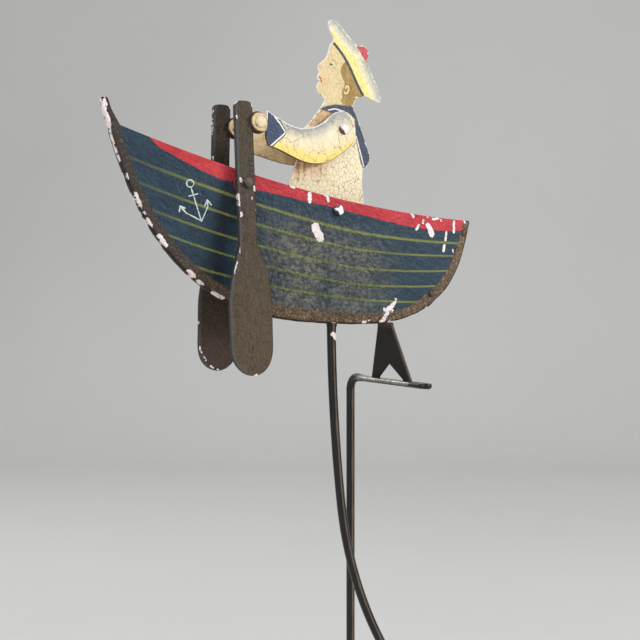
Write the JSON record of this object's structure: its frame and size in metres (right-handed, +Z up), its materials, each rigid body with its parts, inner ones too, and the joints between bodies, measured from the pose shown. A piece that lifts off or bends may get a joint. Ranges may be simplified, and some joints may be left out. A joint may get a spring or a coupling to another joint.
{
  "type": "rocking rower balance toy",
  "caption": "Painted sheet-metal sailor rowing a boat that rocks on a perch over a bent counterweight pendulum, on a round weighted stand.",
  "frame": {"origin": "centre of the base's underside, right below the rocking axis", "axes": "+Z up, -X towards the bow, -Y towards the port side, +Y towards starboard and the upright"},
  "size_m": [0.328, 0.16, 0.6174],
  "materials": {
    "cast_base": "matt black paint over cast iron",
    "felt": "dark green felt",
    "black_paint": "satin black, worn bright on the perch",
    "bare_steel": "dull zinc",
    "hull_paint": "crackled blue with olive plank lines and a red sheer band",
    "keel_paint": "crackled brown, chipped to the primer",
    "oar_paint": "grained brown",
    "red_paint": "red",
    "cream_paint": "aged cream, airbrushed yellow and grey",
    "primer_white": "chipped white primer"
  },
  "bodies": {
    "stand": {"base_disc": "cast_base", "base_pad": "felt", "stand_rod": "black_paint", "rod_collar": "black_paint", "rod_washer": "bare_steel", "rod_nut": "bare_steel"},
    "boat": {"hull_plate_port": "hull_paint", "hull_plate_starboard": "hull_paint", "keel_bar": "keel_paint", "a_foot": "black_paint", "pendulum_rod": "black_paint", "counterweight_ball": "black_paint", "counterweight_nut": "bare_steel", "hip_axle": "primer_white", "hip_spacer_port": "bare_steel", "hip_spacer_starboard": "bare_steel", "oar_spacer_port": "red_paint", "oar_spacer_starboard": "red_paint", "oar_rivet_port": "oar_paint", "oar_rivet_starboard": "oar_paint"},
    "oar_port": {"oar_port": "oar_paint"},
    "oar_starboard": {"oar_starboard": "oar_paint"},
    "sailor": {"sailor_plate": "cream_paint", "shoulder_rivet": "primer_white", "shoulder_washer_port": "cream_paint", "shoulder_washer_starboard": "cream_paint", "leg_weight_port": "bare_steel", "leg_weight_starboard": "bare_steel", "leg_weight_rivet": "bare_steel"},
    "arm_port": {"arm_port": "cream_paint", "hand_rivet_port": "cream_paint"},
    "arm_starboard": {"arm_starboard": "cream_paint", "hand_rivet_starboard": "cream_paint"}
  },
  "joints": [
    {"name": "boat_rock", "type": "hinge", "parent": "stand", "child": "boat", "pos_m": [0, 0, 0.358], "axis": [0, -1, 0], "range_deg": [-18, 18]},
    {"name": "oar_port_swing", "type": "hinge", "parent": "boat", "child": "oar_port", "pos_m": [-0.1298, 0, 0.4957], "axis": [0, -1, 0], "range_deg": [-15, 15]},
    {"name": "oar_starboard_swing", "type": "hinge", "parent": "boat", "child": "oar_starboard", "pos_m": [-0.1298, 0, 0.4957], "axis": [0, -1, 0], "range_deg": [-15, 15]},
    {"name": "sailor_lean", "type": "hinge", "parent": "boat", "child": "sailor", "pos_m": [-0.058, 0, 0.4794], "axis": [0, -1, 0], "range_deg": [-10.4, 10.4]},
    {"name": "arm_port_swing", "type": "hinge", "parent": "sailor", "child": "arm_port", "pos_m": [-0.0438, 0, 0.539], "axis": [0, -1, 0], "range_deg": [-10.4, 10.4]},
    {"name": "arm_starboard_swing", "type": "hinge", "parent": "sailor", "child": "arm_starboard", "pos_m": [-0.0438, 0, 0.539], "axis": [0, -1, 0], "range_deg": [-10.4, 10.4]}
  ],
  "couplings": [
    {"joint": "oar_starboard_swing", "follows": "oar_port_swing", "ratio": 1},
    {"joint": "sailor_lean", "follows": "oar_port_swing", "ratio": 0.6885},
    {"joint": "arm_port_swing", "follows": "oar_port_swing", "ratio": -0.689},
    {"joint": "arm_starboard_swing", "follows": "oar_port_swing", "ratio": -0.689}
  ]
}
